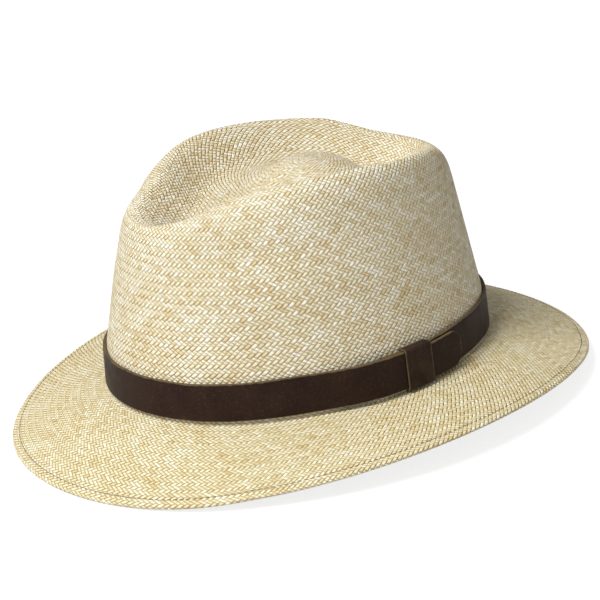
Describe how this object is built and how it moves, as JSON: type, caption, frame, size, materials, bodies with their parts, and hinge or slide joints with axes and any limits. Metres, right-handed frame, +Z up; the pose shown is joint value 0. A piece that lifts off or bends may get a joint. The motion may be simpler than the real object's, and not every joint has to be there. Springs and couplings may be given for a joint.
{
  "type": "panama hat",
  "caption": "Woven straw fedora with a teardrop crown, a drooping stitched brim and a leather band closed by a sliding keeper.",
  "frame": {"origin": "centre of the head opening, level with the line where the crown meets the brim", "axes": "-Y towards the front of the hat, +X towards the wearer's left, +Z up through the crown"},
  "size_m": [0.2694, 0.318, 0.1315],
  "materials": {
    "straw": "woven, matt",
    "hem_thread": "matt thread",
    "band_leather": "waxed, satin",
    "sweatband_leather": "smooth, satin",
    "binding_tape": "woven tape, matt",
    "reed_plastic": "smooth, satin",
    "sweatband_thread": "matt thread"
  },
  "bodies": {
    "hat": {"straw_body": "straw", "hem_thread_top": "hem_thread", "hem_thread_under": "hem_thread", "band_strap": "band_leather", "sweatband": "sweatband_leather", "sweatband_binding": "binding_tape", "sweatband_reed": "reed_plastic", "sweatband_stitch": "sweatband_thread", "sweatband_back_seam": "sweatband_thread"},
    "keeper": {"band_keeper": "band_leather"}
  },
  "joints": [
    {"name": "keeper_slide", "type": "hinge", "parent": "hat", "child": "keeper", "pos_m": [-0.04204, 0, 0.01215], "axis": [0, 0, 1], "range_deg": [-3.6, 3.6]}
  ]
}
